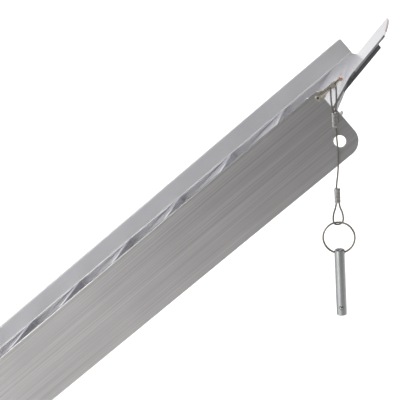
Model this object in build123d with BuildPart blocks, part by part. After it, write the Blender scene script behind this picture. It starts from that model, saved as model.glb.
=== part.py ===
"""Dog boarding ramp: two rails, saw-tooth treads, a bent lip and a tethered detent pin.

The ramp stands at its working slope, so the lanyard and its pin hang plumb. Only the right rail has
an ear. The pieces are drawn about the ramp's middle and saved with the ear hole's centre as origin. Lengths along the ramp are called s, heights
square to the deck are called n, and y runs across. All sizes are millimetres.
"""

from build123d import *
from math import cos, pi, radians, sin, tan
import os

# ---- working slope and the three planes that everything is drawn on
SLOPE = 38.2
UP = (cos(radians(SLOPE)), 0, sin(radians(SLOPE)))
SQUARE = (-sin(radians(SLOPE)), 0, cos(radians(SLOPE)))
DECK = Plane(origin=(0, 0, 0), x_dir=UP, z_dir=SQUARE)
SIDE = Plane(origin=(0, 0, 0), x_dir=UP, z_dir=(0, -1, 0))

# ---- rails
WIDTH = 381.0
STEP = 1.5
OUTER = WIDTH / 2
WEB_OUTER = OUTER - STEP
WEB_INNER = WEB_OUTER - 3.0
MIDDLE_TO_EAR = (WEB_OUTER + WEB_INNER) / 2
CURB_INNER = OUTER - 3.6
RAIL_TOP = 48.0
RAIL_BOTTOM = -16.0
SEAM = 25.0
BEAD_TOP = 28.3
BEAD_THICK = 2.0
BEAD_REACH = 183.0
SHELF_TOP = 18.4
SHELF_THICK = 2.5
SHELF_REACH = 168.0
TOE_THICK = 2.5
TOE_REACH = 176.0
RAIL_UPPER_END = 16.3
CURB_UPPER_END = 14.5
RAIL_LOWER_END = -1440.0
EAR_RADIUS = 15.0
EAR_HOLE_R = 5.65
TOE_UPPER_END = -30.0
CUT_BACK_S = -46.0
CUT_BACK_N = 15.0
CUT_BACK_R = 4.0
TOE_LOWER_END = -1392.0

# ---- treads
PITCH = 82.0
TREAD_COUNT = 16
FIRST_RISER = -84.5
SHEET = 1.6
TREAD_GAP = 2.0
TREAD_FOOT = 8.0
TREAD_TOP = 28.1
DECK_HALF = BEAD_REACH - 0.4
RIVET_Y = 175.0
RIVET_INSET = 4.0
RIVET_R = 1.6
RIVET_HOLE_R = 1.65
RIVET_HEAD_R = 3.0
RIVET_HEAD_H = 1.2
RIVET_TAIL_R = 2.4

# ---- lip
LIP_SHEET = 2.0
LIP_PROFILE = [(-80.0, 20.4), (-45.0, 20.4), (-14.0, 27.2), (15.0, 27.2)]
LIP_TILT = 10.5
LIP_END = 83.0
LIP_CORNER_S = 80.0
TONGUE_HALF = 80.0
SHOULDER_S = 14.0
TONGUE_ROOT_S = 31.0
LIP_RIVET_S = -58.0
LIP_HOLE = (6.0, 48.0, 3.0)
PAD_START = 16.5
PAD_END = 70.0
PAD_WIDTH = 9.0
PAD_THICK = 4.0

# ---- lower end
ENTRY_FOOT = (-1410.0, -1398.5)
ENTRY_TOE = (-1442.0, 2.0)
FOOT_CENTRE = (-1424.0, -8.0)
FOOT_SIZE = (52.0, 34.0)
FOOT_CORNER = 12.0
FOOT_DEPTH = 14.0
FOOT_BOLT_R = 4.0
BOLT_CLEARANCE = 0.1
BOLT_HEAD_R = 7.0
BOLT_HEAD_H = 3.5
BOLT_SOCKET_R = 2.6
BOLT_LENGTH = 25.0
BOLT_INTO_HEAD = 1.0
NUT_R = 7.5
NUT_H = 6.5
ENTRY_HALF = SHELF_REACH - 0.5
ENTRY_MARGIN = 10.0

# ---- lanyard anchor, on the outer face of the right rail
ARM_Y = -193.2
ARM_N = 42.8
ANCHOR_RIVET_S = 11.0
TANG_HALF = 3.6
TANG_THICK = 2.0
ANCHOR_HEAD_R = 2.3
ANCHOR_HEAD_H = 0.8
ANCHOR_BORE_R = 0.9
ANCHOR_BORE_DEPTH = 4.0
TANG_LIFT = 0.02
TANG_RUN = 5.0
ARM_STEPS = [(13.5, 18.0, 1.8), (18.0, 26.6, 2.6), (26.6, 32.4, 2.3), (32.4, 36.4, 1.6), (36.4, 39.0, 1.1)]
GROOVE_START = 19.4
GROOVE_PITCH = 1.8
GROOVE_WIDTH = 0.8
GROOVE_R = 2.05
GROOVE_COUNT = 4
PEG_S = 29.2
PEG_R = 1.2
PEG_ROOT = 2.4
PEG_LENGTH = 7.5
PEG_HEAD_R = 2.5
PEG_HEAD_H = 1.0
TIP_S = 36.42
TIP_R = 2.2
TIP_BORE_R = 1.15
TIP_LENGTH = 2.6
TIP_CHAMFER = 0.4

# ---- lanyard, ring and detent pin
LANYARD_Y = -197.0
WIRE_R = 0.8
STRAND = 0.85
LOOP_R = PEG_R + WIRE_R + 0.35
FERRULE_R = 1.9
UPPER_FERRULE = (14.2, 27.7)
LOWER_FERRULE = (-54.9, -41.1)
RING_R = 14.3
RING_WIRE_R = 0.9
RING_Z = -86.9
PIN_R = 4.75
PIN_TOP = -97.8
PIN_LENGTH = 62.0
PIN_CHAMFER = 0.9
CROSS_HOLE_R = 1.75
BALL_R = 2.0
BALL_PROUD = 0.9
BALL_Z = -152.0
PIN_HOLE_Z = RING_Z - RING_R + 0.4
POCKET_R = BALL_R + 0.05
POCKET_MOUTH = -6.0
POCKET_DEPTH = 9.2
SPRING_R = BALL_R - 0.2
SPRING_BORE_R = BALL_R - 0.75
SPRING_BACK = 3.1
SPRING_LENGTH = 3.2

CUT = 400.0


def at(s, y, n):
    """World position of a point given along, across and square to the deck."""
    return (s * UP[0] + n * SQUARE[0], y, s * UP[2] + n * SQUARE[2])


PEG_X, _, PEG_Z = at(PEG_S, 0, ARM_N)


def section(s):
    """Cross-section plane of the rails at s: its x is y, and its y is n."""
    return Plane(origin=at(s, 0, 0), x_dir=(0, 1, 0), z_dir=UP)


def across(y):
    """Side plane at y: its x is s and its y is n, and it faces -Y."""
    return Plane(origin=(0, y, 0), x_dir=UP, z_dir=(0, -1, 0))


def save(part, name):
    """Place a finished piece with the ear hole's centre as origin, label it and write it."""
    placed = part.moved(Location((0, MIDDLE_TO_EAR, 0)))
    placed.label = name
    export_step(placed, f"parts/{name}.step")


def tread_span(index):
    """Lower and upper end of a tread, counted down from the lip."""
    high = FIRST_RISER - PITCH * index
    return high - PITCH + TREAD_GAP, high


def tread_rivet_s():
    """Where each tread is riveted down, along the ramp."""
    return [tread_span(index)[0] + RIVET_INSET for index in range(TREAD_COUNT)]


def lip_height(s):
    """Height of the tongue's top face at s."""
    bend_s, bend_n = LIP_PROFILE[-1]
    return bend_n + (s - bend_s) * tan(radians(LIP_TILT))


def make_rail(name, side):
    """One extruded rail: curb, bead, shelf, web and toe.

    The right rail's upper end is an ear with a hole. The left rail's is cut back at an angle.
    """
    has_ear = side < 0
    if has_ear:
        upper_end = [(RAIL_UPPER_END, RAIL_BOTTOM), (RAIL_UPPER_END, SEAM), (CURB_UPPER_END, SEAM)]
    else:
        upper_end = [(CUT_BACK_S, RAIL_BOTTOM), (CURB_UPPER_END, CUT_BACK_N)]
    ear_r = EAR_RADIUS if has_ear else CUT_BACK_R
    profile = [
        (WEB_OUTER, RAIL_BOTTOM), (WEB_OUTER, SEAM), (OUTER, SEAM), (OUTER, RAIL_TOP),
        (CURB_INNER, RAIL_TOP), (CURB_INNER, BEAD_TOP), (BEAD_REACH, BEAD_TOP),
        (BEAD_REACH, BEAD_TOP - BEAD_THICK), (WEB_INNER, BEAD_TOP - BEAD_THICK),
        (WEB_INNER, SHELF_TOP), (SHELF_REACH, SHELF_TOP), (SHELF_REACH, SHELF_TOP - SHELF_THICK),
        (WEB_INNER, SHELF_TOP - SHELF_THICK), (WEB_INNER, RAIL_BOTTOM + TOE_THICK),
        (TOE_REACH, RAIL_BOTTOM + TOE_THICK), (TOE_REACH, RAIL_BOTTOM),
    ]
    with BuildPart() as rail:
        with BuildSketch(section(RAIL_LOWER_END)) as outline:
            with BuildLine():
                Polyline(*[(side * out, n) for out, n in profile], close=True)
            make_face()
            top = outline.vertices().group_by(Axis.Y)[-1]
            fillet(top, radius=1.5)
            bead = outline.vertices().filter_by(lambda v: abs(abs(v.X) - BEAD_REACH) < 0.01)
            fillet(bead, radius=0.7)
        extrude(amount=RAIL_UPPER_END - RAIL_LOWER_END)
        with BuildSketch(SIDE) as silhouette:
            with BuildLine():
                Polyline(
                    (RAIL_LOWER_END, RAIL_BOTTOM), *upper_end, (CURB_UPPER_END, RAIL_TOP),
                    (RAIL_LOWER_END, RAIL_TOP), close=True,
                )
            make_face()
            low = silhouette.vertices().group_by(Axis.Y)[0]
            fillet(low.sort_by(Axis.X)[-1], radius=ear_r)
            fillet(low.sort_by(Axis.X)[0], radius=EAR_RADIUS)
            high = silhouette.vertices().group_by(Axis.Y)[-1]
            fillet(high.sort_by(Axis.X)[-1], radius=2.5)
            fillet(high.sort_by(Axis.X)[0], radius=EAR_RADIUS)
        extrude(amount=CUT, both=True, mode=Mode.INTERSECT)
        with BuildSketch(across(side * WEB_OUTER)):
            with Locations((CURB_UPPER_END - 2, SEAM + 2)):
                Rectangle(4, 4)
            with Locations((CURB_UPPER_END - 4, SEAM + 4)):
                Circle(4, mode=Mode.SUBTRACT)
        extrude(amount=-side * STEP, mode=Mode.SUBTRACT)
        toe_y = side * (TOE_REACH + WEB_INNER) / 2
        with BuildSketch(DECK.offset(RAIL_BOTTOM)):
            toe_upper = TOE_UPPER_END if has_ear else CUT_BACK_S - CUT_BACK_R
            for low_s, high_s in ((toe_upper, RAIL_UPPER_END), (RAIL_LOWER_END, TOE_LOWER_END)):
                with Locations(((low_s + high_s) / 2, toe_y)):
                    Rectangle(high_s - low_s, WEB_INNER - TOE_REACH)
        extrude(amount=TOE_THICK, mode=Mode.SUBTRACT)
        with BuildSketch(SIDE):
            with Locations(FOOT_CENTRE):
                Circle(FOOT_BOLT_R + BOLT_CLEARANCE)
            if has_ear:
                Circle(EAR_HOLE_R)
        extrude(amount=CUT, both=True, mode=Mode.SUBTRACT)
        with BuildSketch(DECK.offset(SHELF_TOP - SHELF_THICK)):
            for s in tread_rivet_s() + [LIP_RIVET_S, sum(ENTRY_FOOT) / 2]:
                with Locations((s, side * RIVET_Y)):
                    Circle(RIVET_HOLE_R)
        extrude(amount=SHELF_THICK, mode=Mode.SUBTRACT)
        if has_ear:
            with BuildSketch(across(side * OUTER)):
                with Locations((ANCHOR_RIVET_S, ARM_N)):
                    Circle(RIVET_HOLE_R)
            extrude(amount=-6, mode=Mode.SUBTRACT)
    save(rail.part, name)


def make_tread(index):
    """One folded sheet tread: a flat foot, a rising top and a riser at its upper end."""
    low, high = tread_span(index)
    foot_top = SHELF_TOP + SHEET
    with BuildPart() as tread:
        with BuildSketch(SIDE) as profile:
            with BuildLine():
                Polyline(
                    (low, SHELF_TOP), (low, foot_top), (low + TREAD_FOOT, foot_top),
                    (high, TREAD_TOP), (high, SHELF_TOP + 0.1), (high - SHEET, SHELF_TOP + 0.1),
                    (high - SHEET, TREAD_TOP - 1.15 * SHEET), (low + TREAD_FOOT, SHELF_TOP), close=True,
                )
            make_face()
            fillet(profile.vertices().group_by(Axis.Y)[-1], radius=1.5)
        extrude(amount=DECK_HALF, both=True)
        with BuildSketch(DECK.offset(SHELF_TOP)):
            with Locations((low + RIVET_INSET, RIVET_Y), (low + RIVET_INSET, -RIVET_Y)):
                Circle(RIVET_HOLE_R)
        extrude(amount=SHEET + 1, mode=Mode.SUBTRACT)
    save(tread.part, f"tread_{index + 1:02d}")


def make_rivets(name, places, sheet):
    """Dome rivets that hold a sheet down on the shelves."""
    with BuildPart() as rivets:
        for s, y in places:
            with BuildSketch(DECK.offset(SHELF_TOP + sheet)):
                with Locations((s, y)):
                    Circle(RIVET_HEAD_R)
            extrude(amount=RIVET_HEAD_H, taper=30)
            with BuildSketch(DECK.offset(SHELF_TOP - SHELF_THICK)):
                with Locations((s, y)):
                    Circle(RIVET_R)
            extrude(amount=SHELF_THICK + sheet)
            with BuildSketch(DECK.offset(SHELF_TOP - SHELF_THICK)):
                with Locations((s, y)):
                    Circle(RIVET_TAIL_R)
            extrude(amount=-RIVET_HEAD_H)
    save(rivets.part, name)


def make_lip():
    """The bent lip: a foot on the shelves, a rise, a level run and the tongue."""
    top = LIP_PROFILE + [(LIP_END, lip_height(LIP_END))]
    under = [(s, n - LIP_SHEET) for s, n in reversed(top)]
    with BuildPart() as lip:
        with BuildSketch(SIDE):
            with BuildLine():
                Polyline(*top, *under, close=True)
            make_face()
        extrude(amount=DECK_HALF, both=True)
        with BuildSketch(DECK) as plan:
            with BuildLine():
                start = (top[0][0], -DECK_HALF)
                Polyline(
                    start, (SHOULDER_S, -DECK_HALF), (TONGUE_ROOT_S, -TONGUE_HALF),
                    (LIP_CORNER_S, -TONGUE_HALF),
                )
                ThreePointArc(
                    (LIP_CORNER_S, -TONGUE_HALF), (LIP_END - 0.05, 0), (LIP_CORNER_S, TONGUE_HALF)
                )
                Polyline(
                    (LIP_CORNER_S, TONGUE_HALF), (TONGUE_ROOT_S, TONGUE_HALF),
                    (SHOULDER_S, DECK_HALF), (top[0][0], DECK_HALF), start,
                )
            make_face()
            corners = plan.vertices().filter_by(lambda v: abs(v.X - LIP_CORNER_S) < 0.01)
            fillet(corners, radius=3)
            roots = plan.vertices().filter_by(lambda v: abs(v.X - TONGUE_ROOT_S) < 0.01)
            fillet(roots, radius=8)
        extrude(amount=CUT, both=True, mode=Mode.INTERSECT)
        hole_s, hole_y, hole_r = LIP_HOLE
        with BuildSketch(DECK):
            with Locations((hole_s, hole_y), (hole_s, -hole_y)):
                Circle(hole_r)
            with Locations((LIP_RIVET_S, RIVET_Y), (LIP_RIVET_S, -RIVET_Y)):
                Circle(RIVET_HOLE_R)
        extrude(amount=CUT, mode=Mode.SUBTRACT)
    save(lip.part, "lip_plate")


def make_pad(name, side):
    """A rubber grip bar under one edge of the tongue."""
    upper = [(s, lip_height(s) - LIP_SHEET - 0.02) for s in (PAD_START, PAD_END)]
    lower = [(s, n - PAD_THICK) for s, n in reversed(upper)]
    inner = side * (TONGUE_HALF - 1 - PAD_WIDTH)
    with BuildPart() as pad:
        with BuildSketch(across(inner)):
            with BuildLine():
                Polyline(*upper, *lower, close=True)
            make_face()
        extrude(amount=-side * PAD_WIDTH)
    save(pad.part, name)


def make_entry():
    """The sheet at the lower end that turns down towards the ground."""
    foot_low, foot_high = ENTRY_FOOT
    toe_s, toe_n = ENTRY_TOE
    top = SHELF_TOP + SHEET
    with BuildPart() as entry:
        with BuildSketch(SIDE):
            with BuildLine():
                Polyline(
                    (foot_high, SHELF_TOP), (foot_high, top), (foot_low, top), (toe_s, toe_n),
                    (toe_s + SHEET, toe_n - SHEET), (foot_low + SHEET, SHELF_TOP), close=True,
                )
            make_face()
        extrude(amount=DECK_HALF, both=True)
        with BuildSketch(DECK):
            apron_low = toe_s - ENTRY_MARGIN
            apron_high = foot_low + SHEET
            for side in (-1, 1):
                with Locations(((apron_low + apron_high) / 2, side * (ENTRY_HALF + ENTRY_MARGIN))):
                    Rectangle(apron_high - apron_low, 2 * ENTRY_MARGIN)
        extrude(amount=CUT, both=True, mode=Mode.SUBTRACT)
        with BuildSketch(DECK.offset(SHELF_TOP)):
            with Locations((sum(ENTRY_FOOT) / 2, RIVET_Y), (sum(ENTRY_FOOT) / 2, -RIVET_Y)):
                Circle(RIVET_HOLE_R)
        extrude(amount=SHEET, mode=Mode.SUBTRACT)
    save(entry.part, "entry_plate")


def make_foot(name, side):
    """A rubber foot on the inner face of a rail's lower end."""
    with BuildPart() as foot:
        with BuildSketch(across(side * (WEB_INNER - 0.05))):
            with Locations(FOOT_CENTRE):
                RectangleRounded(*FOOT_SIZE, FOOT_CORNER)
                Circle(FOOT_BOLT_R + BOLT_CLEARANCE, mode=Mode.SUBTRACT)
        extrude(amount=side * FOOT_DEPTH)
        rim = foot.edges().filter_by(lambda e: abs(e.center().Y) < WEB_INNER - FOOT_DEPTH + 1)
        chamfer(rim.sort_by(SortBy.LENGTH)[-1], length=1.0)
    save(foot.part, name)


def make_foot_bolts():
    """Button-head bolts, pushed in through the webs."""
    with BuildPart() as bolts:
        for side in (-1, 1):
            with BuildSketch(across(side * WEB_OUTER)):
                with Locations(FOOT_CENTRE):
                    Circle(BOLT_HEAD_R)
                    RegularPolygon(BOLT_SOCKET_R, 6, mode=Mode.SUBTRACT)
            extrude(amount=-side * BOLT_HEAD_H)
            with BuildSketch(across(side * (WEB_OUTER + BOLT_INTO_HEAD))):
                with Locations(FOOT_CENTRE):
                    Circle(FOOT_BOLT_R)
            extrude(amount=side * BOLT_LENGTH)
    save(bolts.part, "foot_bolts")


def make_foot_nuts():
    """Locking nuts on the foot bolts."""
    with BuildPart() as nuts:
        for side in (-1, 1):
            with BuildSketch(across(side * (WEB_INNER - FOOT_DEPTH - 0.1))):
                with Locations(FOOT_CENTRE):
                    RegularPolygon(NUT_R, 6)
                    Circle(FOOT_BOLT_R + 0.05, mode=Mode.SUBTRACT)
            extrude(amount=side * NUT_H)
    save(nuts.part, "foot_nuts")


def make_anchor_arm():
    """The steel arm that carries the lanyard: a riveted tang and a turned, grooved barrel."""
    arm_start = ARM_STEPS[0][0]
    arm_end = ARM_STEPS[-1][1]
    outline = [(arm_start, 0.0)]
    for start, end, radius in ARM_STEPS:
        outline += [(start, radius), (end, radius)]
    outline += [(arm_end, 0.0)]
    barrel_r = max(radius for _, _, radius in ARM_STEPS)
    arm_plane = Plane(origin=at(0, ARM_Y, ARM_N), x_dir=UP, z_dir=(0, -1, 0))
    with BuildPart() as arm:
        with BuildSketch(arm_plane):
            with BuildLine():
                Polyline(*outline, close=True)
            make_face()
        revolve(axis=Axis(at(0, ARM_Y, ARM_N), UP))
        for groove in range(GROOVE_COUNT):
            start = GROOVE_START + GROOVE_PITCH * groove
            with BuildSketch(Plane(origin=at(start, ARM_Y, ARM_N), x_dir=(0, 1, 0), z_dir=UP)):
                Circle(barrel_r + 0.1)
                Circle(GROOVE_R, mode=Mode.SUBTRACT)
            extrude(amount=GROOVE_WIDTH, mode=Mode.SUBTRACT)
        with BuildSketch(across(-OUTER - TANG_LIFT)):
            with Locations((ANCHOR_RIVET_S + TANG_RUN / 2, ARM_N)):
                RectangleRounded(TANG_RUN + 2 * TANG_HALF, 2 * TANG_HALF, TANG_HALF - 0.1)
        extrude(amount=TANG_THICK)
        with BuildSketch(across(-OUTER)):
            with Locations((ANCHOR_RIVET_S, ARM_N)):
                Circle(RIVET_HOLE_R)
            with Locations((PEG_S, ARM_N)):
                Circle(PEG_R + 0.03)
        extrude(amount=10, mode=Mode.SUBTRACT)
    save(arm.part, "anchor_arm")


def make_anchor_rivet():
    """The hollow rivet through the tang and the curb."""
    face = OUTER + TANG_THICK + TANG_LIFT
    with BuildPart() as rivet:
        with BuildSketch(across(-face)):
            with Locations((ANCHOR_RIVET_S, ARM_N)):
                Circle(ANCHOR_HEAD_R)
        extrude(amount=ANCHOR_HEAD_H, taper=25)
        with BuildSketch(across(-face)):
            with Locations((ANCHOR_RIVET_S, ARM_N)):
                Circle(RIVET_R)
        extrude(amount=-(face - CURB_INNER))
        with BuildSketch(across(-CURB_INNER)):
            with Locations((ANCHOR_RIVET_S, ARM_N)):
                Circle(RIVET_TAIL_R)
        extrude(amount=-RIVET_HEAD_H)
        with BuildSketch(across(-face - ANCHOR_HEAD_H)):
            with Locations((ANCHOR_RIVET_S, ARM_N)):
                Circle(ANCHOR_BORE_R)
        extrude(amount=-ANCHOR_BORE_DEPTH, mode=Mode.SUBTRACT)
    save(rivet.part, "anchor_rivet")


def make_anchor_peg():
    """The headed peg that the wire's upper loop hangs on."""
    with BuildPart() as peg:
        with BuildSketch(across(ARM_Y + PEG_ROOT)):
            with Locations((PEG_S, ARM_N)):
                Circle(PEG_R)
        extrude(amount=PEG_LENGTH)
        with BuildSketch(across(LANYARD_Y - PEG_R)):
            with Locations((PEG_S, ARM_N)):
                Circle(PEG_HEAD_R)
        extrude(amount=PEG_HEAD_H, taper=20)
    save(peg.part, "anchor_peg")


def make_anchor_tip():
    """The copper cap on the end of the arm."""
    with BuildPart() as tip:
        with BuildSketch(Plane(origin=at(TIP_S, ARM_Y, ARM_N), x_dir=(0, 1, 0), z_dir=UP)):
            Circle(TIP_R)
            Circle(TIP_BORE_R, mode=Mode.SUBTRACT)
        extrude(amount=TIP_LENGTH)
        rims = tip.edges().filter_by(GeomType.CIRCLE).sort_by(SortBy.RADIUS)[-2:]
        chamfer(rims, length=TIP_CHAMFER)
    save(tip.part, "anchor_tip")


def wire_route():
    """Corners of the lanyard wire, from inside the upper ferrule to inside the lower one."""
    x = PEG_X
    y = LANYARD_Y
    return [
        (x - STRAND, y, 15.2), (x - STRAND, y, 29.0),
        (x - LOOP_R, y, 36.0), (x - LOOP_R - 0.1, y, 45.0),
        (x - LOOP_R, y, PEG_Z + LOOP_R), (x + LOOP_R, y, PEG_Z + LOOP_R),
        (x + LOOP_R + 0.1, y, 45.0), (x + LOOP_R, y, 36.0),
        (x + STRAND, y, 29.0), (x + STRAND, y, 12.0),
        (x + 2.2, y, -8.0), (x + 1.6, y, -26.0),
        (x - STRAND, y, -40.0), (x - STRAND, y, -56.5),
        (x - 4.6, y - 1.3, -65.5), (x - 4.2, y - 2.9, -74.6),
        (x + 4.2, y + 2.9, -74.6), (x + 4.6, y + 1.3, -65.5),
        (x + STRAND, y, -56.5), (x + STRAND, y, -42.4),
    ]


def wire_radii(route):
    """Arc at each corner: as large as its two runs allow, and the loop's own size at the peg."""
    radii = []
    for before, corner, after in zip(route, route[1:], route[2:]):
        into = Vector(*corner) - Vector(*before)
        out = Vector(*after) - Vector(*corner)
        half = radians(into.get_angle(out)) / 2
        radii.append(0.45 * min(into.length, out.length) / tan(half))
    for corner in (3, 4):
        radii[corner] = min(radii[corner], LOOP_R - 0.01)
    return radii


def make_wire():
    """The wire rope, in one piece with its two loops."""
    route = wire_route()
    radii = wire_radii(route)
    print("wire radii", [round(radius, 1) for radius in radii])
    with BuildPart() as wire:
        with BuildLine() as path:
            FilletPolyline(*route, radius=radii)
        with BuildSketch(Plane(origin=route[0], z_dir=(0, 0, 1))):
            Circle(WIRE_R)
        sweep(path=path.wires()[0])
    length = path.wires()[0].length
    ratio = wire.part.volume / (length * pi * WIRE_R**2)
    print("wire length", round(length, 1), "volume ratio", round(ratio, 4))
    save(wire.part, "lanyard_wire")


def make_ferrule(name, span):
    """A pressed sleeve round two strands of the wire."""
    low, high = span
    with BuildPart() as ferrule:
        with BuildSketch(Plane.XY.offset(low)):
            with Locations((PEG_X, LANYARD_Y)):
                SlotOverall(2 * (STRAND + FERRULE_R), 2 * FERRULE_R - 0.4)
                SlotOverall(2 * (STRAND + WIRE_R) + 0.2, 2 * WIRE_R + 0.1, mode=Mode.SUBTRACT)
        extrude(amount=high - low)
        rims = ferrule.faces().sort_by(Axis.Z)
        chamfer(rims[-1].outer_wire().edges(), length=0.5)
        chamfer(ferrule.faces().sort_by(Axis.Z)[0].outer_wire().edges(), length=0.5)
    save(ferrule.part, name)


def make_ring():
    """The ring that joins the wire's lower loop to the pin."""
    with BuildPart() as ring:
        with BuildSketch(Plane(origin=(PEG_X, LANYARD_Y, RING_Z), x_dir=(1, 0, 0), z_dir=(0, 0, 1))):
            with Locations((RING_R, 0)):
                Circle(RING_WIRE_R)
        revolve(axis=Axis((PEG_X, LANYARD_Y, RING_Z), (0, 1, 0)))
    save(ring.part, "pull_ring")


def make_pin():
    """The detent pin's body: cross hole near its top, ball pocket near its tip."""
    with BuildPart() as pin:
        with BuildSketch(Plane.XY.offset(PIN_TOP)):
            with Locations((PEG_X, LANYARD_Y)):
                Circle(PIN_R)
        extrude(amount=-PIN_LENGTH)
        chamfer(pin.edges().filter_by(GeomType.CIRCLE), length=PIN_CHAMFER)
        with BuildSketch(Plane(origin=(PEG_X - 8, LANYARD_Y, PIN_HOLE_Z), z_dir=(1, 0, 0))):
            Circle(CROSS_HOLE_R)
        extrude(amount=16, mode=Mode.SUBTRACT)
        with BuildSketch(Plane(origin=(PEG_X, LANYARD_Y + POCKET_MOUTH, BALL_Z), z_dir=(0, 1, 0))):
            Circle(POCKET_R)
        extrude(amount=POCKET_DEPTH, mode=Mode.SUBTRACT)
    save(pin.part, "pin_body")


def make_ball():
    """The detent ball, proud of the pin's side."""
    centre = (PEG_X, LANYARD_Y - PIN_R + BALL_R - BALL_PROUD, BALL_Z)
    with BuildPart() as ball:
        with Locations(centre):
            Sphere(BALL_R)
    save(ball.part, "detent_ball")


def make_spring():
    """The detent spring, as the sleeve that it fills in the pocket."""
    with BuildPart() as spring:
        with BuildSketch(Plane(origin=(PEG_X, LANYARD_Y + SPRING_BACK, BALL_Z), z_dir=(0, -1, 0))):
            Circle(SPRING_R)
            Circle(SPRING_BORE_R, mode=Mode.SUBTRACT)
        extrude(amount=SPRING_LENGTH)
    save(spring.part, "detent_spring")


os.makedirs("parts", exist_ok=True)
make_rail("right_rail", -1)
make_rail("left_rail", 1)
for tread_index in range(TREAD_COUNT):
    make_tread(tread_index)
make_rivets("right_tread_rivets", [(s, -RIVET_Y) for s in tread_rivet_s()], SHEET)
make_rivets("left_tread_rivets", [(s, RIVET_Y) for s in tread_rivet_s()], SHEET)
make_lip()
make_rivets("lip_rivets", [(LIP_RIVET_S, -RIVET_Y), (LIP_RIVET_S, RIVET_Y)], LIP_SHEET)
make_pad("right_lip_pad", -1)
make_pad("left_lip_pad", 1)
make_entry()
make_rivets("entry_rivets", [(sum(ENTRY_FOOT) / 2, -RIVET_Y), (sum(ENTRY_FOOT) / 2, RIVET_Y)], SHEET)
make_foot("right_foot", -1)
make_foot("left_foot", 1)
make_foot_bolts()
make_foot_nuts()
make_anchor_arm()
make_anchor_rivet()
make_anchor_peg()
make_anchor_tip()
make_wire()
make_ferrule("upper_ferrule", UPPER_FERRULE)
make_ferrule("lower_ferrule", LOWER_FERRULE)
make_ring()
make_pin()
make_ball()
make_spring()
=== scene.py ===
"""Dog boarding ramp: finishes, rope lanyard, detent pin fittings, rivets and studio.

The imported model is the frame. Distances are metres. Along the ramp is s, square to the deck is n and
across is y. The ramp slopes, so patterns that follow it read coordinates turned by the slope.
"""

import logging
from dataclasses import dataclass
from enum import Enum
from math import cos, pi, radians, sin

import bmesh
import bpy
from mathutils import Matrix, Vector


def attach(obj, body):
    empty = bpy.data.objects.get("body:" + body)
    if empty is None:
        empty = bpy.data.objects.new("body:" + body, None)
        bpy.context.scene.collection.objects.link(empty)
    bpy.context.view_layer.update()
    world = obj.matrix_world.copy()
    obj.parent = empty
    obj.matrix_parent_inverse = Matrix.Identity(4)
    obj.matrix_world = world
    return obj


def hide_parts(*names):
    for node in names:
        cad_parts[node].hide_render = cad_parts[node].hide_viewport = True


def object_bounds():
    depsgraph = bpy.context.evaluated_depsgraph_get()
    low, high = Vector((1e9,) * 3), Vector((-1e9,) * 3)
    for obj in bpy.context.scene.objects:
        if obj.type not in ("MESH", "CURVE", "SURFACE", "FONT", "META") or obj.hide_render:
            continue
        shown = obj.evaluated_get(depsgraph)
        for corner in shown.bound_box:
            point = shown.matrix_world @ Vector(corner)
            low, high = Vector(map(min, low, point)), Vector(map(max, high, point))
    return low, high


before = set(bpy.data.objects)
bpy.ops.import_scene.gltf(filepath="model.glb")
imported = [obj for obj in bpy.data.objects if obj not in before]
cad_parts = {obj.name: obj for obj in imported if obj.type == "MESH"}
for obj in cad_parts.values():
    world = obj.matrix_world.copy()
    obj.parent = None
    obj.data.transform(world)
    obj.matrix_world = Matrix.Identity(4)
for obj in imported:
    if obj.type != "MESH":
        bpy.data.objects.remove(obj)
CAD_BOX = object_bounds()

log = logging.getLogger("dog_ramp")

MM = 0.001
SLOPE = radians(38.2)
MIDDLE_Y = 187.5 * MM
MERGE_GAP = 1e-7
UP = Vector((cos(SLOPE), 0.0, sin(SLOPE)))
SQUARE = Vector((-sin(SLOPE), 0.0, cos(SLOPE)))
Colour = tuple[float, float, float, float]
Triple = tuple[float, float, float]


def at(s: float, y: float, n: float) -> Vector:
    """World point given along the ramp, across it from its middle, and square to the deck."""
    return UP * s + Vector((0.0, MIDDLE_Y + y, 0.0)) + SQUARE * n


# ---------------------------------------------------------------- shader tools


class Number:
    """A shader value that Python's operators work on by adding Math nodes."""

    def __init__(self, recipe: "Recipe", socket: bpy.types.NodeSocket) -> None:
        """Args:
        recipe: the material that the value belongs to.
        socket: the output that carries it.
        """
        self.recipe = recipe
        self.socket = socket

    def _math(self, operation: str, first: object, second: object) -> "Number":
        """One Math node on two numbers."""
        node = self.recipe.node("ShaderNodeMath", {"operation": operation}, {0: first, 1: second})
        return Number(self.recipe, node.outputs[0])

    def __add__(self, other: object) -> "Number":
        """self + other."""
        return self._math("ADD", self, other)

    __radd__ = __add__

    def __sub__(self, other: object) -> "Number":
        """self - other."""
        return self._math("SUBTRACT", self, other)

    def __rsub__(self, other: object) -> "Number":
        """other - self."""
        return self._math("SUBTRACT", other, self)

    def __mul__(self, other: object) -> "Number":
        """self * other."""
        return self._math("MULTIPLY", self, other)

    __rmul__ = __mul__

    def __gt__(self, other: object) -> "Number":
        """1 where self is above other, 0 elsewhere."""
        return self._math("GREATER_THAN", self, other)


class ColourMix(Enum):
    """Where the colour form of the Mix node keeps its sockets."""

    FACTOR = 0
    LOW = 6
    HIGH = 7
    RESULT = 2


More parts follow.
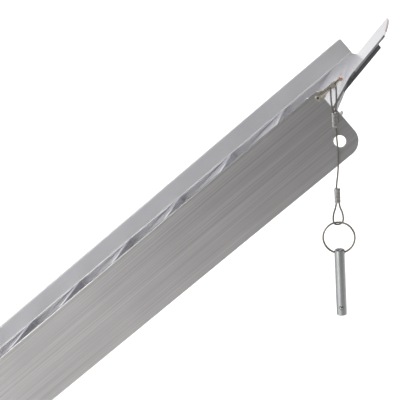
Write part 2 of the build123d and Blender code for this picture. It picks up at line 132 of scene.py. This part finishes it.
class Recipe:
    """One material's node tree, ending in a Principled shader."""

    def __init__(self, name: str) -> None:
        """Args:
        name: the material's name.
        """
        self.material = bpy.data.materials.new(name)
        self.material.use_nodes = True
        self.tree = self.material.node_tree
        self.tree.nodes.clear()
        self.shader = self.node("ShaderNodeBsdfPrincipled")
        output = self.node("ShaderNodeOutputMaterial")
        self.tree.links.new(self.shader.outputs[0], output.inputs["Surface"])

    def node(
        self, kind: str, settings: dict | None = None, inputs: dict | None = None
    ) -> bpy.types.Node:
        """Adds a node, gives it its settings and then its inputs.

        Args:
            kind: the node's type.
            settings: properties of the node, set first.
            inputs: a value, socket or Number for each input's name or index.

        Returns:
            The new node.
        """
        node = self.tree.nodes.new(kind)
        for key, value in (settings or {}).items():
            setattr(node, key, value)
        for key, value in (inputs or {}).items():
            self.feed(node.inputs[key], value)
        return node

    def feed(self, socket: bpy.types.NodeSocket, value: object) -> None:
        """Links or sets one input."""
        if isinstance(value, Number):
            value = value.socket
        if isinstance(value, bpy.types.NodeSocket):
            self.tree.links.new(value, socket)
        else:
            socket.default_value = value

    def along_ramp(self) -> bpy.types.NodeSocket:
        """Object coordinates turned so that X runs up the ramp and Z is square to the deck."""
        place = self.node("ShaderNodeTexCoord")
        turned = self.node(
            "ShaderNodeMapping",
            {"vector_type": "POINT"},
            {"Vector": place.outputs["Object"], "Rotation": (0.0, SLOPE, 0.0)},
        )
        return turned.outputs[0]

    def stretched(self, vector: bpy.types.NodeSocket, scale: Triple) -> bpy.types.NodeSocket:
        """A vector multiplied part by part."""
        node = self.node("ShaderNodeVectorMath", {"operation": "MULTIPLY"}, {0: vector, 1: scale})
        return node.outputs[0]

    def noise(self, vector: bpy.types.NodeSocket, detail: float) -> Number:
        """Noise from 0 to 1 over a vector."""
        node = self.node("ShaderNodeTexNoise", None, {"Vector": vector, "Scale": 1.0, "Detail": detail})
        return Number(self, node.outputs[0])

    def blend(self, factor: Number, low: object, high: object) -> bpy.types.NodeSocket:
        """A colour between two, by a factor that is held within 0 and 1."""
        node = self.node("ShaderNodeMix", {"data_type": "RGBA", "clamp_factor": True})
        self.feed(node.inputs[ColourMix.FACTOR.value], factor)
        self.feed(node.inputs[ColourMix.LOW.value], low)
        self.feed(node.inputs[ColourMix.HIGH.value], high)
        return node.outputs[ColourMix.RESULT.value]

    def part(self, vector: bpy.types.NodeSocket, axis: str) -> Number:
        """One component of a vector."""
        node = self.node("ShaderNodeSeparateXYZ", None, {0: vector})
        return Number(self, node.outputs[axis])


# ---------------------------------------------------------------- finishes


@dataclass(frozen=True)
class Finish:
    """A finish with a directional grain and broad handling marks."""

    name: str
    light: Colour
    dark: Colour
    metallic: float
    smooth: float
    rough: float
    grain: Triple
    bump: float = 0.1
    marks: float = 0.25
    mark_scale: Triple = (9.0, 14.0, 14.0)
    grain_detail: float = 4.0
    mark_detail: float = 2.0
    contrast: float = 2.2
    bump_depth: float = 0.2 * MM

    def make(self) -> bpy.types.Material:
        """Builds the material.

        Returns:
            The finished material.
        """
        recipe = Recipe(self.name)
        place = recipe.along_ramp()
        grain = recipe.noise(recipe.stretched(place, self.grain), self.grain_detail)
        marks = recipe.noise(recipe.stretched(place, self.mark_scale), self.mark_detail)
        tone = grain * (1.0 - self.marks) + marks * self.marks
        spread = (tone - 0.5) * self.contrast + 0.5
        colour = self.tint(recipe, place, recipe.blend(spread, self.dark, self.light))
        recipe.feed(recipe.shader.inputs["Base Color"], colour)
        recipe.feed(recipe.shader.inputs["Metallic"], self.metallic)
        roughness = self.rub(recipe, place, tone * (self.rough - self.smooth) + self.smooth)
        recipe.feed(recipe.shader.inputs["Roughness"], roughness)
        bump = recipe.node(
            "ShaderNodeBump", None,
            {"Strength": self.bump, "Distance": self.bump_depth, "Height": grain},
        )
        recipe.feed(recipe.shader.inputs["Normal"], bump.outputs[0])
        return recipe.material

    def tint(
        self, recipe: Recipe, place: bpy.types.NodeSocket, colour: bpy.types.NodeSocket
    ) -> bpy.types.NodeSocket:
        """The plain finish adds no tint."""
        return colour

    def rub(self, recipe: Recipe, place: bpy.types.NodeSocket, roughness: Number) -> Number:
        """The plain finish is equally rough all over."""
        return roughness


@dataclass(frozen=True)
class RailFinish(Finish):
    """Brushed outer faces, and rougher inner faces whose colour is painted lighter as a painted highlight
    for the light that they catch.
    """

    inner_half: float = 188.3 * MM
    # painted highlight: the inner faces are painted near-white to stand in for the light that they catch
    inner_painted_highlight: Colour = (0.90, 0.90, 0.91, 1.0)
    inner_highlight_share: float = 0.85
    satin_rough: float = 0.16

    def inside(self, recipe: Recipe, place: bpy.types.NodeSocket) -> Number:
        """1 on faces nearer to the ramp's middle than the outer ones."""
        across = recipe.part(place, "Y") - MIDDLE_Y
        far = recipe.node("ShaderNodeMath", {"operation": "ABSOLUTE"}, {0: across})
        return 1.0 - (Number(recipe, far.outputs[0]) > self.inner_half)

    def tint(
        self, recipe: Recipe, place: bpy.types.NodeSocket, colour: bpy.types.NodeSocket
    ) -> bpy.types.NodeSocket:
        """Mixes a painted highlight, a lighter colour, in on the inner faces."""
        return recipe.blend(self.inside(recipe, place) * self.inner_highlight_share, colour, self.inner_painted_highlight)

    def rub(self, recipe: Recipe, place: bpy.types.NodeSocket, roughness: Number) -> Number:
        """Makes the inner faces rougher."""
        return roughness + self.inside(recipe, place) * self.satin_rough


@dataclass(frozen=True)
class SheenedEdge(Finish):
    """Bright sheet whose sawn front edge is a warm brown."""

    edge_s: float = 81.5 * MM
    edge: Colour = (0.30, 0.13, 0.09, 1.0)

    def tint(
        self, recipe: Recipe, place: bpy.types.NodeSocket, colour: bpy.types.NodeSocket
    ) -> bpy.types.NodeSocket:
        """Mixes the edge colour in beyond a distance up the ramp."""
        beyond = recipe.part(place, "X") > self.edge_s
        return recipe.blend(beyond, colour, self.edge)


@dataclass(frozen=True)
class HollowRivet(Finish):
    """A drawn rivet whose open bore is painted black, as painted shade for the depth of the bore."""

    bore_s: float = 11.0 * MM
    bore_n: float = 42.8 * MM
    bore_r: float = 1.05 * MM
    # painted shade: black stands in for the shade deep in the open bore
    painted_bore_shade: Colour = (0.02, 0.02, 0.02, 1.0)

    def tint(
        self, recipe: Recipe, place: bpy.types.NodeSocket, colour: bpy.types.NodeSocket
    ) -> bpy.types.NodeSocket:
        """Mixes painted shade, black, in near the rivet's axis, where the bore is deep."""
        along = recipe.part(place, "X") - self.bore_s
        high = recipe.part(place, "Z") - self.bore_n
        outside = along * along + high * high > self.bore_r**2
        return recipe.blend(outside, self.painted_bore_shade, colour)


class Grain(Enum):
    """Directions that a finish's lines can run in, as noise scales along s, y and n."""

    ALONG = (4.0, 820.0, 820.0)
    ACROSS = (420.0, 6.0, 420.0)
    NONE = (260.0, 260.0, 260.0)
    FINE = (900.0, 900.0, 900.0)


# the rails' inner faces carry a painted highlight: they are painted lighter than the brushed outer faces
EXTRUSION = RailFinish(
    "brushed_extrusion", (0.68, 0.665, 0.66, 1), (0.43, 0.42, 0.42, 1), 1.0, 0.26, 0.36,
    Grain.ALONG.value, 0.30,
)
TREAD_SHEET = Finish(
    "rolled_sheet", (0.90, 0.89, 0.94, 1), (0.76, 0.75, 0.81, 1), 1.0, 0.22, 0.36,
    Grain.ACROSS.value, 0.12,
)
LIP_SHEET = SheenedEdge(
    "bright_lip_sheet", (0.93, 0.92, 0.96, 1), (0.84, 0.83, 0.89, 1), 1.0, 0.14, 0.24,
    Grain.ACROSS.value, 0.02,
)
RIVET = Finish(
    "rivet_aluminium", (0.80, 0.80, 0.81, 1), (0.58, 0.58, 0.60, 1), 1.0, 0.22, 0.42,
    Grain.FINE.value, 0.1,
)
# the bore of this rivet is painted black as painted shade
ANCHOR_RIVET = HollowRivet(
    "hollow_rivet", (0.88, 0.87, 0.83, 1), (0.70, 0.69, 0.66, 1), 1.0, 0.25, 0.42,
    Grain.FINE.value, 0.1,
)
FERRULE = Finish(
    "pressed_ferrule", (0.66, 0.65, 0.63, 1), (0.40, 0.39, 0.37, 1), 1.0, 0.28, 0.48,
    Grain.FINE.value, 0.35,
)
ZINC = Finish(
    "zinc_plate", (0.86, 0.81, 0.71, 1), (0.50, 0.46, 0.39, 1), 1.0, 0.16, 0.32,
    Grain.FINE.value, 0.15,
)
POLISHED = Finish(
    "polished_steel", (0.60, 0.61, 0.61, 1), (0.44, 0.45, 0.45, 1), 1.0, 0.12, 0.24,
    Grain.FINE.value, 0.04,
)
RING_STEEL = Finish(
    "ring_steel", (0.46, 0.41, 0.35, 1), (0.24, 0.21, 0.18, 1), 1.0, 0.24, 0.38,
    Grain.FINE.value, 0.1,
)
STRAND = Finish(
    "rope_strand", (0.44, 0.42, 0.38, 1), (0.20, 0.19, 0.17, 1), 1.0, 0.30, 0.50,
    Grain.FINE.value, 0.2,
)
COPPER = Finish(
    "copper", (0.82, 0.50, 0.40, 1), (0.55, 0.30, 0.22, 1), 1.0, 0.22, 0.40,
    Grain.FINE.value, 0.1,
)
GRIP = Finish(
    "grip_bar", (0.17, 0.17, 0.175, 1), (0.075, 0.075, 0.08, 1), 0.0, 0.35, 0.60,
    Grain.ALONG.value, 0.4,
)
RUBBER = Finish(
    "moulded_rubber", (0.035, 0.035, 0.037, 1), (0.016, 0.016, 0.017, 1), 0.0, 0.55, 0.80,
    Grain.NONE.value, 0.5,
)


def dress(material: bpy.types.Material, *names: str) -> None:
    """Puts a material on CAD nodes.

    Args:
        material: the finish to show.
        names: the nodes.
    """
    for name in names:
        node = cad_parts[name]
        if not node.material_slots:
            node.data.materials.append(material)
        for slot in node.material_slots:
            slot.material = material


# ---------------------------------------------------------------- mesh tools


def finish_mesh(
    shape: bmesh.types.BMesh, name: str, material: bpy.types.Material, body: str
) -> bpy.types.Object:
    """Closes a bmesh into a piece that rides on a body.

    Args:
        shape: the bmesh, which is freed.
        name: the piece's name.
        material: its finish.
        body: the body that it moves with.

    Returns:
        The new object.
    """
    bmesh.ops.remove_doubles(shape, verts=shape.verts, dist=MERGE_GAP)
    bmesh.ops.recalc_face_normals(shape, faces=shape.faces)
    mesh = bpy.data.meshes.new(name)
    shape.to_mesh(mesh)
    shape.free()
    mesh.shade_smooth()
    mesh.materials.append(material)
    piece = bpy.data.objects.new(name, mesh)
    bpy.context.scene.collection.objects.link(piece)
    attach(piece, body)
    log.info("%s: %d faces", name, len(mesh.polygons))
    return piece


def turned(profile: list[tuple[float, float]], steps: int = 24) -> bmesh.types.BMesh:
    """Spins a profile about Z.

    Args:
        profile: (height, radius) pairs from one end of the axis to the other.
        steps: facets round the axis.

    Returns:
        The closed solid of revolution.
    """
    shape = bmesh.new()
    points = [shape.verts.new((radius, 0.0, height)) for height, radius in profile]
    edges = [shape.edges.new(pair) for pair in zip(points, points[1:])]
    bmesh.ops.spin(
        shape, geom=points + edges, cent=(0, 0, 0), axis=(0, 0, 1), dvec=(0, 0, 0),
        angle=2 * pi, steps=steps, use_merge=True, use_duplicate=False,
    )
    bmesh.ops.remove_doubles(shape, verts=shape.verts, dist=MERGE_GAP)
    return shape


def absorb(whole: bmesh.types.BMesh, shape: bmesh.types.BMesh, place: Matrix) -> None:
    """Moves a shape into place and adds it to another.

    Args:
        whole: the bmesh that grows.
        shape: the one that is added, unchanged.
        place: where it goes.
    """
    mesh = bpy.data.meshes.new("part")
    shape.to_mesh(mesh)
    mesh.transform(place)
    whole.from_mesh(mesh)
    bpy.data.meshes.remove(mesh)


def tube_mesh(paths: list[list[Vector]], radius: float, closed: bool = False) -> bmesh.types.BMesh:
    """Round tubes along paths.

    Args:
        paths: the centre lines.
        radius: the tubes' radius.
        closed: whether each path is a loop.

    Returns:
        The tubes in one bmesh.
    """
    curve = bpy.data.curves.new("tube", "CURVE")
    curve.dimensions = "3D"
    curve.bevel_depth = radius
    curve.bevel_resolution = 1
    curve.use_fill_caps = True
    for path in paths:
        spline = curve.splines.new("POLY")
        spline.points.add(len(path) - 1)
        for point, place in zip(spline.points, path):
            point.co = (*place, 1.0)
        spline.use_cyclic_u = closed
    holder = bpy.data.objects.new("tube", curve)
    bpy.context.scene.collection.objects.link(holder)
    bpy.context.view_layer.update()
    mesh = bpy.data.meshes.new_from_object(holder)
    shape = bmesh.new()
    shape.from_mesh(mesh)
    bpy.data.objects.remove(holder)
    bpy.data.curves.remove(curve)
    bpy.data.meshes.remove(mesh)
    return shape


# ---------------------------------------------------------------- sub-assemblies


@dataclass
class Rivets:
    """Rows of pulled dome rivets with a hollow at the middle of each head."""

    head_r: float = 3.0 * MM
    head_h: float = 1.2 * MM
    hollow_r: float = 0.9 * MM
    shank_r: float = 1.6 * MM
    tail_r: float = 2.4 * MM
    tail_tip: float = 0.7
    tail_bulge: float = 0.5
    hollow_floor_h: float = 0.4
    hollow_floor_r: float = 0.8
    crown_angles: tuple[int, ...] = (20, 40, 60, 78, 90)
    facets: int = 24

    def dome(self, grip: float) -> bmesh.types.BMesh:
        """One rivet about Z, with its head's seat at zero.

        Args:
            grip: the thickness that it holds together.

        Returns:
            The rivet.
        """
        crown = [
            (self.head_h * sin(angle), self.head_r - (self.head_r - self.hollow_r) * (1 - cos(angle)))
            for angle in map(radians, self.crown_angles)
        ]
        profile = [
            (-grip - self.head_h, 0.0), (-grip - self.head_h, self.tail_r * self.tail_tip),
            (-grip - self.head_h * self.tail_bulge, self.tail_r), (-grip, self.tail_r),
            (-grip, self.shank_r), (0.0, self.shank_r), (0.0, self.head_r), *crown,
            (self.head_h * self.hollow_floor_h, self.hollow_r * self.hollow_floor_r),
            (self.head_h * self.hollow_floor_h, 0.0),
        ]
        return turned(profile, self.facets)

    def row(self, node: str, places: list[Vector], grip: float, material: bpy.types.Material) -> None:
        """Replaces one CAD node of rivets.

        Args:
            node: the CAD node.
            places: the seats of the heads.
            grip: the thickness held together.
            material: the finish.
        """
        whole = bmesh.new()
        shape = self.dome(grip)
        for place in places:
            absorb(whole, shape, Matrix.Translation(place) @ Matrix.Rotation(-SLOPE, 4, "Y"))
        shape.free()
        piece = finish_mesh(whole, f"{node}_domed", material, "frame")
        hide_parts(node)


@dataclass
class Deck:
    """Rails, treads, entry plate and feet."""

    treads: int = 16
    pitch: float = 82.0 * MM
    first_riser: float = -84.5 * MM
    tread_gap: float = 2.0 * MM
    rivet_inset: float = 4.0 * MM
    rivet_y: float = 175.0 * MM
    shelf_top: float = 18.4 * MM
    shelf: float = 2.5 * MM
    sheet: float = 1.6 * MM
    entry_rivet_s: float = -1404.25 * MM

    def dress(self) -> None:
        """Gives the CAD nodes their finishes."""
        dress(EXTRUSION.make(), "right_rail", "left_rail")
        names = [f"tread_{index:02d}" for index in range(1, self.treads + 1)]
        dress(TREAD_SHEET.make(), "entry_plate", *names)
        dress(RUBBER.make(), "right_foot", "left_foot")
        dress(GRIP.make(), "right_lip_pad", "left_lip_pad")
        dress(ZINC.make(), "foot_bolts", "foot_nuts")

    def rivet_s(self) -> list[float]:
        """Where the treads are riveted, along the ramp."""
        low = self.first_riser - self.pitch + self.tread_gap + self.rivet_inset
        return [low - self.pitch * index for index in range(self.treads)]

    def rivet(self, material: bpy.types.Material) -> None:
        """Builds the tread and entry rivets.

        Args:
            material: their finish.
        """
        rivets = Rivets()
        seat = self.shelf_top + self.sheet
        grip = self.shelf + self.sheet
        for side, name in ((-1, "right_tread_rivets"), (1, "left_tread_rivets")):
            places = [at(s, side * self.rivet_y, seat) for s in self.rivet_s()]
            rivets.row(name, places, grip, material)
        ends = [at(self.entry_rivet_s, side * self.rivet_y, seat) for side in (-1, 1)]
        rivets.row("entry_rivets", ends, grip, material)


@dataclass
class Lip:
    """The bent lip and its two rivets."""

    sheet: float = 2.0 * MM
    rivet_s: float = -58.0 * MM

    def build(self, deck: Deck, material: bpy.types.Material) -> None:
        """Dresses the plate and builds its rivets.

        Args:
            deck: the deck that it is riveted to.
            material: the rivets' finish.
        """
        dress(LIP_SHEET.make(), "lip_plate")
        seat = deck.shelf_top + self.sheet
        places = [at(self.rivet_s, side * deck.rivet_y, seat) for side in (-1, 1)]
        Rivets().row("lip_rivets", places, deck.shelf + self.sheet, material)


class Anchor:
    """The grooved arm, its rivet, peg and copper tip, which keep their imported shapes."""

    def dress(self) -> None:
        """Gives the CAD nodes their finishes."""
        dress(ZINC.make(), "anchor_arm", "anchor_peg")
        dress(ANCHOR_RIVET.make(), "anchor_rivet")
        dress(COPPER.make(), "anchor_tip")


@dataclass
class Lanyard:
    """The stranded wire rope with its two eyes and pressed ferrules."""

    diameter: float = 1.6 * MM
    lay: float = 9.0 * MM
    outer_strands: int = 6
    strand_share: float = 1 / 3
    x: float = -3.521 * MM
    y: float = MIDDLE_Y - 197.0 * MM
    ferrule_half: tuple[float, float] = (2.74 * MM, 1.68 * MM)
    ferrule_mouth: tuple[tuple[float, float], ...] = ((0.0, 0.82), (0.04, 0.97), (0.10, 1.0))
    ferrule_steps: int = 32
    presses: int = 3
    first_press: float = 0.16
    press_pitch: float = 0.24
    press_length: float = 0.18
    press_edge: float = 0.03
    press_waist: float = 0.955
    route_steps: int = 24
    ferrule_spans: tuple[tuple[str, float, float], ...] = (
        ("upper_ferrule", 14.2 * MM, 27.7 * MM),
        ("lower_ferrule", -54.9 * MM, -41.1 * MM),
    )

    def route(self) -> list[Triple]:
        """The rope's control points, from inside the upper ferrule to inside the lower one."""
        millimetres = [
            (-4.371, -197.0, 15.2), (-4.371, -197.0, 29.0), (-5.871, -197.0, 36.0),
            (-5.971, -197.0, 45.0), (-5.871, -197.0, 54.042), (-1.171, -197.0, 54.042),
            (-1.071, -197.0, 45.0), (-1.171, -197.0, 36.0), (-2.671, -197.0, 29.0),
            (-2.671, -197.0, 12.0), (-1.321, -197.0, -8.0), (-1.921, -197.0, -26.0),
            (-4.371, -197.0, -40.0), (-4.371, -197.0, -56.5), (-8.121, -198.3, -65.5),
            (-7.721, -199.9, -74.6), (0.679, -194.1, -74.6), (1.079, -195.7, -65.5),
            (-2.671, -197.0, -56.5), (-2.671, -197.0, -42.4),
        ]
        return [(x * MM, MIDDLE_Y + y * MM, z * MM) for x, y, z in millimetres]

    def centre_line(self) -> list[Vector]:
        """Points read from a smooth spline through the route.

        Returns:
            The points in order.
        """
        route = self.route()
        curve = bpy.data.curves.new("rope_route", "CURVE")
        curve.dimensions = "3D"
        curve.resolution_u = self.route_steps
        spline = curve.splines.new("NURBS")
        spline.points.add(len(route) - 1)
        for point, place in zip(spline.points, route):
            point.co = (*place, 1.0)
        spline.order_u = 3
        spline.use_endpoint_u = True
        holder = bpy.data.objects.new("rope_route", curve)
        bpy.context.scene.collection.objects.link(holder)
        bpy.context.view_layer.update()
        mesh = bpy.data.meshes.new_from_object(holder)
        points = [vertex.co.copy() for vertex in mesh.vertices]
        bpy.data.objects.remove(holder)
        bpy.data.curves.remove(curve)
        bpy.data.meshes.remove(mesh)
        return points

    def strands(self, line: list[Vector]) -> list[list[Vector]]:
        """The core and the outer strands laid round it.

        Args:
            line: the rope's centre line.

        Returns:
            One path for each strand.
        """
        reach = self.diameter / 2 * (1 - self.strand_share)
        paths: list[list[Vector]] = [list(line)] + [[] for _ in range(self.outer_strands)]
        side = Vector((0.0, 1.0, 0.0))
        travelled = 0.0
        for index, point in enumerate(line):
            after = line[min(index + 1, len(line) - 1)]
            before = line[max(index - 1, 0)]
            ahead = (after - before).normalized()
            side = (side - ahead * side.dot(ahead)).normalized()
            other = ahead.cross(side)
            if index:
                travelled += (point - before).length
            for strand in range(self.outer_strands):
                turn = 2 * pi * (travelled / self.lay + strand / self.outer_strands)
                paths[strand + 1].append(point + (side * cos(turn) + other * sin(turn)) * reach)
        return paths

    def ferrule(
        self, name: str, low: float, high: float, material: bpy.types.Material
    ) -> bpy.types.Object:
        """An oval sleeve with the waists that the press's dies leave.

        Args:
            name: the CAD node that it replaces.
            low: its lower end.
            high: its upper end.
            material: its finish.

        Returns:
            The piece.
        """
        length = high - low
        stations = list(self.ferrule_mouth)
        for press in range(self.presses):
            start = self.first_press + self.press_pitch * press
            end = start + self.press_length
            stations += [
                (start, 1.0), (start + self.press_edge, self.press_waist),
                (end - self.press_edge, self.press_waist), (end, 1.0),
            ]
        stations += [(1.0 - part, size) for part, size in reversed(self.ferrule_mouth)]
        profile = [(0.0, 0.0)] + [(length * part, size) for part, size in stations] + [(length, 0.0)]
        shape = turned(profile, self.ferrule_steps)
        wide, deep = self.ferrule_half
        bmesh.ops.scale(shape, vec=(wide, deep, 1.0), verts=shape.verts)
        bmesh.ops.translate(shape, vec=(self.x, self.y, low), verts=shape.verts)
        piece = finish_mesh(shape, f"{name}_pressed", material, "lanyard")
        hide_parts(name)
        return piece

    def build(self) -> tuple[bpy.types.Object, list[Vector], list[bpy.types.Object]]:
        """Makes the rope and its ferrules.

        Returns:
            The rope, its centre line and the ferrules.
        """
        line = self.centre_line()
        radius = self.diameter / 2 * self.strand_share
        shape = tube_mesh(self.strands(line), radius)
        rope = finish_mesh(shape, "lanyard_rope", STRAND.make(), "lanyard")
        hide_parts("lanyard_wire")
        pressed = FERRULE.make()
        ferrules = [self.ferrule(name, low, high, pressed) for name, low, high in self.ferrule_spans]
        return rope, line, ferrules


@dataclass
class PullRing:
    """A split ring of two turns of wire that is wider outwards than it is thick."""

    x: float = -3.521 * MM
    y: float = MIDDLE_Y - 197.0 * MM
    z: float = -86.9 * MM
    radius: float = 14.3 * MM
    wire: float = 0.44 * MM
    wire_widening: float = 1.95
    steps: int = 96
    turns: int = 2
    crossing: float = 0.06
    closeness: float = 0.98
    wire_end: float = pi / 3

    def widen(self, shape: bmesh.types.BMesh) -> None:
        """Stretches the wire's section away from the ring's round centre line."""
        for vertex in shape.verts:
            out = Vector((vertex.co.x - self.x, 0.0, vertex.co.z - self.z))
            spare = (out.length - self.radius) * (self.wire_widening - 1.0)
            vertex.co += out.normalized() * spare

    def build(self, material: bpy.types.Material) -> bpy.types.Object:
        """Winds the ring.

        Args:
            material: its finish.

        Returns:
            The piece.
        """
        path = []
        for step in range(self.turns * self.steps + 1):
            round_about = step / self.steps
            share = min(1.0, max(0.0, (round_about - 1.0) / self.crossing + 0.5))
            shift = self.wire * (2 * share - 1) * self.closeness
            turn = 2 * pi * round_about + self.wire_end
            path.append(
                Vector((
                    self.x + self.radius * cos(turn), self.y + shift, self.z + self.radius * sin(turn)
                ))
            )
        shape = tube_mesh([path], self.wire)
        self.widen(shape)
        ring = finish_mesh(shape, "split_ring", material, "ring")
        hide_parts("pull_ring")
        return ring


@dataclass
class DetentPin:
    """The pin, the rim staked round its ball, and the spring behind the ball."""

    x: float = -3.521 * MM
    y: float = MIDDLE_Y - 197.0 * MM
    ball_z: float = -152.0 * MM
    pin_r: float = 4.75 * MM
    rim_r: float = 2.15 * MM
    rim_wire: float = 0.22 * MM
    rim_steps: int = 40
    coil_r: float = 1.42 * MM
    coil_wire: float = 0.22 * MM
    coil_turns: float = 4.0
    coil_back: float = 3.0 * MM
    coil_length: float = 2.9 * MM
    coil_steps: int = 24

    def rim(self, material: bpy.types.Material) -> None:
        """Lays the staked rim on the pin's round side.

        Args:
            material: its finish.
        """
        path = []
        for step in range(self.rim_steps):
            turn = 2 * pi * step / self.rim_steps
            across = self.rim_r * cos(turn)
            depth = (self.pin_r**2 - across**2) ** 0.5 - self.rim_wire
            path.append(Vector((self.x + across, self.y - depth, self.ball_z + self.rim_r * sin(turn))))
        shape = tube_mesh([path], self.rim_wire, closed=True)
        finish_mesh(shape, "ball_rim", material, "pin")

    def spring(self, material: bpy.types.Material) -> None:
        """Winds the spring that stands behind the ball.

        Args:
            material: its finish.
        """
        path = []
        for step in range(int(self.coil_turns * self.coil_steps) + 1):
            turn = 2 * pi * step / self.coil_steps
            back = self.coil_back - self.coil_length * step / (self.coil_turns * self.coil_steps)
            across = self.coil_r * cos(turn)
            path.append(Vector((self.x + across, self.y + back, self.ball_z + self.coil_r * sin(turn))))
        shape = tube_mesh([path], self.coil_wire)
        spring = finish_mesh(shape, "detent_coil", material, "pin")
        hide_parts("detent_spring")

    def build(self, material: bpy.types.Material) -> None:
        """Dresses the pin and adds the rim and spring.

        Args:
            material: polished steel.
        """
        dress(material, "pin_body", "detent_ball")
        self.rim(material)
        self.spring(material)


# ---------------------------------------------------------------- studio


@dataclass(frozen=True)
class Lamp:
    """A square soft light. Shiny pieces mirror it if it is seen."""

    name: str
    place: Triple
    aim: Triple
    size: float
    power: float
    seen: bool = True

    def hang(self) -> None:
        """Adds the light to the scene."""
        data = bpy.data.lights.new(self.name, "AREA")
        data.size = self.size
        data.energy = self.power
        lamp = bpy.data.objects.new(self.name, data)
        lamp.location = self.place
        lamp.visible_glossy = self.seen
        ahead = Vector(self.aim) - Vector(self.place)
        lamp.rotation_euler = ahead.to_track_quat("-Z", "Y").to_euler()
        bpy.context.scene.collection.objects.link(lamp)


LAMPS = (
    Lamp("key", place=(-3.2, -2.2, 1.0), aim=(-0.9, 0.0, -0.6), size=1.4, power=40.0),
    Lamp("wash", place=(0.14, 0.12, 0.85), aim=(-0.05, 0.37, 0.05), size=0.4, power=5.0),
    Lamp("behind", place=(-0.8, 3.6, 1.8), aim=(-0.1, 0.2, 0.0), size=3.2, power=14.0),
    Lamp("far_panel", place=(-2.0, 15.0, 6.1), aim=(-2.0, 0.0, 6.1), size=14.0, power=400.0),
    Lamp("far_floor", place=(-2.5, 7.5, 2.6), aim=(-2.5, 7.5, -0.9), size=12.5, power=900.0, seen=False),
    Lamp("front_pool", place=(-2.2, -2.8, 0.4), aim=(-1.5, -3.0, -0.9), size=1.0, power=30.0, seen=False),
)


@dataclass
class Studio:
    """Floor, world and camera, lit by the lamps."""

    camera_place: Triple = (0.0781, -1.3035, 0.2497)
    yaw: float = radians(9.07)
    pitch: float = radians(12.84)
    roll: float = radians(-3.40)
    lens: float = 132.75
    sensor: float = 36.0
    sight: float = 200.0
    floor_half: float = 40.0
    floor_colour: Colour = (0.92, 0.92, 0.92, 1.0)
    floor_rough: float = 0.9
    surround: float = 0.13

    def camera(self) -> None:
        """Sets the camera up."""
        data = bpy.data.cameras.new("camera")
        data.lens = self.lens
        data.sensor_width = self.sensor
        data.clip_end = self.sight
        view = bpy.data.objects.new("camera", data)
        ahead = Vector((
            -sin(self.yaw) * cos(self.pitch), cos(self.yaw) * cos(self.pitch), -sin(self.pitch)
        ))
        level = Vector((cos(self.yaw), sin(self.yaw), 0.0))
        right = level * cos(self.roll) + level.cross(ahead) * sin(self.roll)
        top = right.cross(ahead)
        view.matrix_world = Matrix.Translation(self.camera_place) @ Matrix(
            (right, top, -ahead)
        ).transposed().to_4x4()
        bpy.context.scene.collection.objects.link(view)
        bpy.context.scene.camera = view

    def floor(self, height: float) -> None:
        """Lays the pale floor.

        Args:
            height: the object's lowest point.
        """
        shape = bmesh.new()
        bmesh.ops.create_grid(shape, x_segments=1, y_segments=1, size=self.floor_half)
        bmesh.ops.translate(shape, vec=(0, 0, height), verts=shape.verts)
        mesh = bpy.data.meshes.new("floor")
        shape.to_mesh(mesh)
        shape.free()
        recipe = Recipe("floor_paint")
        recipe.feed(recipe.shader.inputs["Base Color"], self.floor_colour)
        recipe.feed(recipe.shader.inputs["Roughness"], self.floor_rough)
        mesh.materials.append(recipe.material)
        floor = bpy.data.objects.new("floor", mesh)
        bpy.context.scene.collection.objects.link(floor)

    def world(self) -> None:
        """Sets an even surrounding light."""
        world = bpy.data.worlds.new("studio")
        world.use_nodes = True
        ground = world.node_tree.nodes["Background"]
        ground.inputs["Color"].default_value = (1.0, 1.0, 1.0, 1.0)
        ground.inputs["Strength"].default_value = self.surround
        bpy.context.scene.world = world

    def build(self, height: float) -> None:
        """Sets up the whole studio.

        Args:
            height: the floor's height.
        """
        self.camera()
        self.floor(height)
        self.world()
        for lamp in LAMPS:
            lamp.hang()
        bpy.context.scene.view_settings.view_transform = "Standard"


def main() -> None:
    """Builds every sub-assembly in order."""
    logging.basicConfig(level=logging.INFO, format="%(message)s")
    Studio().build(CAD_BOX[0][2])
    steel = POLISHED.make()
    rivet = RIVET.make()
    lanyard = Lanyard()
    rope, line, ferrules = lanyard.build()
    ring = PullRing().build(RING_STEEL.make())
    DetentPin().build(steel)
    deck = Deck()
    deck.dress()
    deck.rivet(rivet)
    Lip().build(deck, rivet)
    Anchor().dress()


if __name__ == "__main__":
    main()
